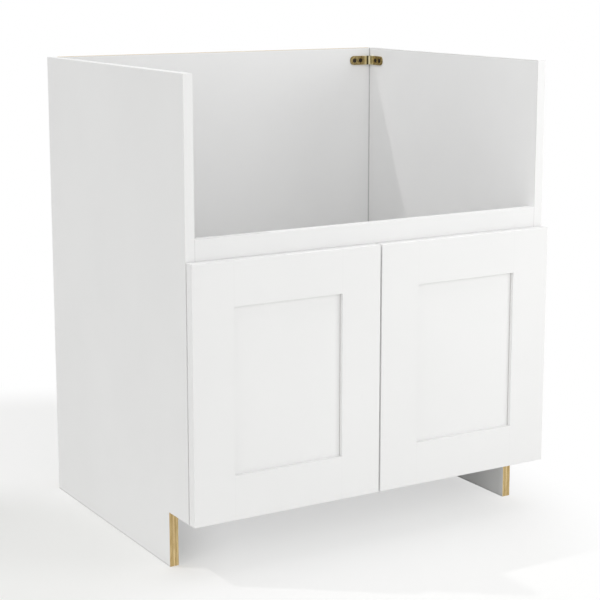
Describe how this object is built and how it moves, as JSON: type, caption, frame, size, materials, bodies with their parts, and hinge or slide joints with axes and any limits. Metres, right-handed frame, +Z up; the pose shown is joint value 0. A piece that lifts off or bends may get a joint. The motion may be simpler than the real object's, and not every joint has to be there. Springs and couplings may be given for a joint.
{
  "type": "farmhouse sink base cabinet",
  "caption": "Frameless kitchen base cabinet, open at the top and upper front for an apron-front sink, with brass corner braces and shaker doors on concealed hinges.",
  "frame": {"origin": "on the floor, under the middle of the box that holds the cabinet with its doors closed", "axes": "+X to the right as one faces the doors, +Y from the doors towards the wall, +Z up"},
  "size_m": [0.762, 0.6052, 0.8763],
  "materials": {
    "white_faced_plywood": "smooth white facing on birch plywood, raw edges at the toe and the back",
    "white_edge_band": "satin white edge banding",
    "white_door_lacquer": "satin white lacquer over solid wood",
    "brass_strip": "bright brass plating",
    "brace_screw": "dark bronzed flat head",
    "beech": "plain turned beech",
    "cast_zinc": "matt die cast zinc",
    "zinc_plated_steel": "zinc plated",
    "spring_steel": "bright rolled spring steel",
    "nickel_plated_steel": "nickel plated pressed steel",
    "clear_bumper": "clear soft bumper"
  },
  "bodies": {
    "cabinet": {"back_dowels": "beech", "back_panel": "white_faced_plywood", "back_panel_screws": "zinc_plated_steel", "bottom_deck": "white_faced_plywood", "brace_screws": "brace_screw", "cam_bolts": "zinc_plated_steel", "cam_discs": "cast_zinc", "deck_front_band": "white_edge_band", "front_rail": "white_faced_plywood", "front_rail_bands": "white_edge_band", "hinge_arm_screws": "zinc_plated_steel", "hinge_plate_screws": "zinc_plated_steel", "left_lower_corner_brace": "brass_strip", "left_lower_hinge_arm": "nickel_plated_steel", "left_lower_mounting_plate": "nickel_plated_steel", "left_side_front_band": "white_edge_band", "left_side_panel": "white_faced_plywood", "left_side_top_band": "white_edge_band", "left_upper_corner_brace": "brass_strip", "left_upper_hinge_arm": "nickel_plated_steel", "left_upper_mounting_plate": "nickel_plated_steel", "right_lower_corner_brace": "brass_strip", "right_lower_hinge_arm": "nickel_plated_steel", "right_lower_mounting_plate": "nickel_plated_steel", "right_side_front_band": "white_edge_band", "right_side_panel": "white_faced_plywood", "right_side_top_band": "white_edge_band", "right_upper_corner_brace": "brass_strip", "right_upper_hinge_arm": "nickel_plated_steel", "right_upper_mounting_plate": "nickel_plated_steel", "wood_dowels": "beech"},
    "left_door": {"left_closing_springs": "spring_steel", "left_cup_screws": "zinc_plated_steel", "left_door_bottom_rail": "white_door_lacquer", "left_door_bumpers": "clear_bumper", "left_door_hinge_stile": "white_door_lacquer", "left_door_meeting_stile": "white_door_lacquer", "left_door_panel": "white_door_lacquer", "left_door_top_rail": "white_door_lacquer", "left_lower_hinge_cup": "nickel_plated_steel", "left_lower_hinge_pin": "nickel_plated_steel", "left_upper_hinge_cup": "nickel_plated_steel", "left_upper_hinge_pin": "nickel_plated_steel"},
    "right_door": {"right_closing_springs": "spring_steel", "right_cup_screws": "zinc_plated_steel", "right_door_bottom_rail": "white_door_lacquer", "right_door_bumpers": "clear_bumper", "right_door_hinge_stile": "white_door_lacquer", "right_door_meeting_stile": "white_door_lacquer", "right_door_panel": "white_door_lacquer", "right_door_top_rail": "white_door_lacquer", "right_lower_hinge_cup": "nickel_plated_steel", "right_lower_hinge_pin": "nickel_plated_steel", "right_upper_hinge_cup": "nickel_plated_steel", "right_upper_hinge_pin": "nickel_plated_steel"}
  },
  "joints": [
    {"name": "left_door_hinge", "type": "hinge", "parent": "cabinet", "child": "left_door", "pos_m": [-0.3744, -0.2926, 0.3313], "axis": [0, 0, 1], "range_deg": [-105, 0]},
    {"name": "right_door_hinge", "type": "hinge", "parent": "cabinet", "child": "right_door", "pos_m": [0.3744, -0.2926, 0.3313], "axis": [0, 0, 1], "range_deg": [0, 105]}
  ]
}
